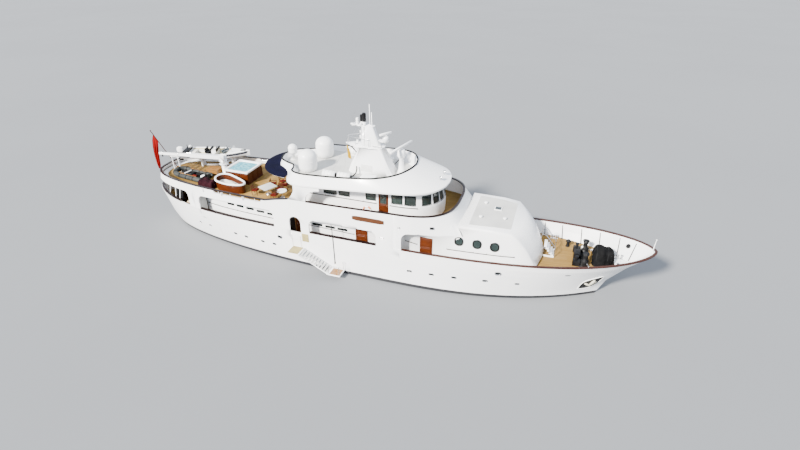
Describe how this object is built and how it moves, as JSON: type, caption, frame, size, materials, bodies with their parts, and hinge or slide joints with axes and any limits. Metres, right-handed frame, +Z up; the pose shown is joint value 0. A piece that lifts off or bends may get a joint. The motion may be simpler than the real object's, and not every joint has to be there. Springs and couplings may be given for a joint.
{
  "type": "scale model motor yacht",
  "caption": "Classic displacement motor yacht afloat, with a raised wheelhouse, radar mast, spa pool, tenders on deck, a boat crane and a boarding ladder, as a scale model.",
  "frame": {"origin": "amidships on the centreline at the waterline, where water holds the boat", "axes": "+X towards the bow, +Y to port, +Z up"},
  "size_m": [22.525, 4.6246, 8.1],
  "materials": {
    "white_paint": "gloss",
    "bottom_paint": "matt",
    "teak": "bare scrubbed planks",
    "varnished_wood": "gloss varnish",
    "deck_paint": "non-slip matt",
    "white_plastic": "gloss gelcoat",
    "bronze": "dull bronze",
    "stainless": "polished",
    "black_rubber": "matt",
    "grey_tube": "satin",
    "cream_gelcoat": "satin",
    "navy_canvas": "woven",
    "maroon_canvas": "woven",
    "red_bunting": "woven",
    "yellow_bunting": "woven",
    "cushion": "woven",
    "tinted_glass": "tinted",
    "pool_water": "clear"
  },
  "bodies": {
    "yacht": {"anchor_port": "stainless", "anchor_stbd": "stainless", "awning": "navy_canvas", "bridge_deck": "teak", "bridge_rail_aft": "varnished_wood", "bridge_rail_fore": "varnished_wood", "bulwark_bow": "white_paint", "bulwark_port": "white_paint", "bulwark_stbd": "white_paint", "bulwark_stern": "white_paint", "cap_rail_bow": "varnished_wood", "crane_post": "white_paint", "ensign": "red_bunting", "ensign_staff": "varnished_wood", "fore_house": "white_paint", "foredeck_cover": "navy_canvas", "hull": "white_paint", "inflatable": "grey_tube", "keel": "bottom_paint", "ladder_stage": "stainless", "launch": "cream_gelcoat", "launch_chocks": "white_paint", "liferafts_port": "white_plastic", "liferafts_stbd": "white_plastic", "main_deck": "teak", "main_house": "white_paint", "mast": "white_paint", "portuguese_bridge": "white_paint", "radar_pedestal": "white_paint", "radome_port": "white_plastic", "radome_small": "white_plastic", "radome_stbd": "white_plastic", "shaft_port": "bronze", "shaft_stbd": "bronze", "shell_port": "white_paint", "shell_stbd": "white_paint", "shell_stern": "white_paint", "side_wing_port": "white_paint", "side_wing_stbd": "white_paint", "spa_cabinet": "varnished_wood", "spa_tub": "white_plastic", "top_deck": "white_paint", "wheelhouse": "white_paint", "windlass": "stainless"},
    "propeller_stbd": {"propeller_stbd": "bronze"},
    "propeller_port": {"propeller_port": "bronze"},
    "rudder_stbd": {"rudder_stbd": "bottom_paint"},
    "rudder_port": {"rudder_port": "bottom_paint"},
    "radar_scanner_upper": {"radar_scanner_upper": "white_plastic"},
    "radar_scanner_lower": {"radar_scanner_lower": "white_plastic"},
    "crane_head": {"crane_head": "white_paint"},
    "crane_boom": {"crane_boom": "white_paint"},
    "ladder_flight": {"ladder_flight": "stainless"},
    "ladder_landing": {"ladder_landing": "stainless"},
    "wheelhouse_door_stbd": {"wheelhouse_door_stbd": "varnished_wood"},
    "wheelhouse_door_port": {"wheelhouse_door_port": "varnished_wood"},
    "saloon_door_stbd": {"saloon_door_stbd": "varnished_wood"},
    "saloon_door_port": {"saloon_door_port": "varnished_wood"},
    "fore_door_stbd": {"fore_door_stbd": "varnished_wood"},
    "fore_door_port": {"fore_door_port": "varnished_wood"}
  },
  "joints": [
    {"name": "propeller_stbd_spin", "type": "hinge", "parent": "yacht", "child": "propeller_stbd", "pos_m": [-7.7, -0.8, -0.975], "axis": [1, 0, 0], "continuous": true},
    {"name": "propeller_port_spin", "type": "hinge", "parent": "yacht", "child": "propeller_port", "pos_m": [-7.7, 0.8, -0.975], "axis": [1, 0, 0], "continuous": true},
    {"name": "rudder_stbd_steer", "type": "hinge", "parent": "yacht", "child": "rudder_stbd", "pos_m": [-8.45, -0.8, -0.6], "axis": [0, 0, 1], "range_deg": [-35, 35]},
    {"name": "rudder_port_steer", "type": "hinge", "parent": "yacht", "child": "rudder_port", "pos_m": [-8.45, 0.8, -0.6], "axis": [0, 0, 1], "range_deg": [-35, 35]},
    {"name": "radar_upper_spin", "type": "hinge", "parent": "yacht", "child": "radar_scanner_upper", "pos_m": [0.525, 0, 5.49], "axis": [0, 0, 1], "continuous": true},
    {"name": "radar_lower_spin", "type": "hinge", "parent": "yacht", "child": "radar_scanner_lower", "pos_m": [1.175, 0, 5.025], "axis": [0, 0, 1], "continuous": true},
    {"name": "crane_slew", "type": "hinge", "parent": "yacht", "child": "crane_head", "pos_m": [-7.525, 0.075, 3.225], "axis": [0, 0, 1], "range_deg": [-100, 100]},
    {"name": "crane_luff", "type": "hinge", "parent": "crane_head", "child": "crane_boom", "pos_m": [-7.525, 0.075, 3.5], "axis": [-0.1599, 0.9871, 0], "range_deg": [0, 55]},
    {"name": "ladder_hoist", "type": "hinge", "parent": "yacht", "child": "ladder_flight", "pos_m": [-2.45, -2.31, 0.875], "axis": [0, -1, 0], "range_deg": [0, 28]},
    {"name": "ladder_landing_level", "type": "hinge", "parent": "ladder_flight", "child": "ladder_landing", "pos_m": [-1.2, -2.31, 0.21], "axis": [0, -1, 0], "range_deg": [-28, 0]},
    {"name": "wheelhouse_door_stbd_hinge", "type": "hinge", "parent": "yacht", "child": "wheelhouse_door_stbd", "pos_m": [0.6308, -1.21, 3.15], "axis": [0, 0, -1], "range_deg": [0, 90]},
    {"name": "wheelhouse_door_port_hinge", "type": "hinge", "parent": "yacht", "child": "wheelhouse_door_port", "pos_m": [0.6308, 1.21, 3.15], "axis": [0, 0, 1], "range_deg": [0, 90]},
    {"name": "saloon_door_stbd_slide", "type": "slide", "parent": "yacht", "child": "saloon_door_stbd", "axis": [1, 0, 0], "range_m": [0, 0.5]},
    {"name": "saloon_door_port_slide", "type": "slide", "parent": "yacht", "child": "saloon_door_port", "axis": [1, 0, 0], "range_m": [0, 0.5]},
    {"name": "fore_door_stbd_slide", "type": "slide", "parent": "yacht", "child": "fore_door_stbd", "axis": [1, 0, 0], "range_m": [0, 0.5]},
    {"name": "fore_door_port_slide", "type": "slide", "parent": "yacht", "child": "fore_door_port", "axis": [1, 0, 0], "range_m": [0, 0.5]}
  ],
  "couplings": [
    {"joint": "rudder_port_steer", "follows": "rudder_stbd_steer", "ratio": 1},
    {"joint": "ladder_landing_level", "follows": "ladder_hoist", "ratio": -1}
  ]
}
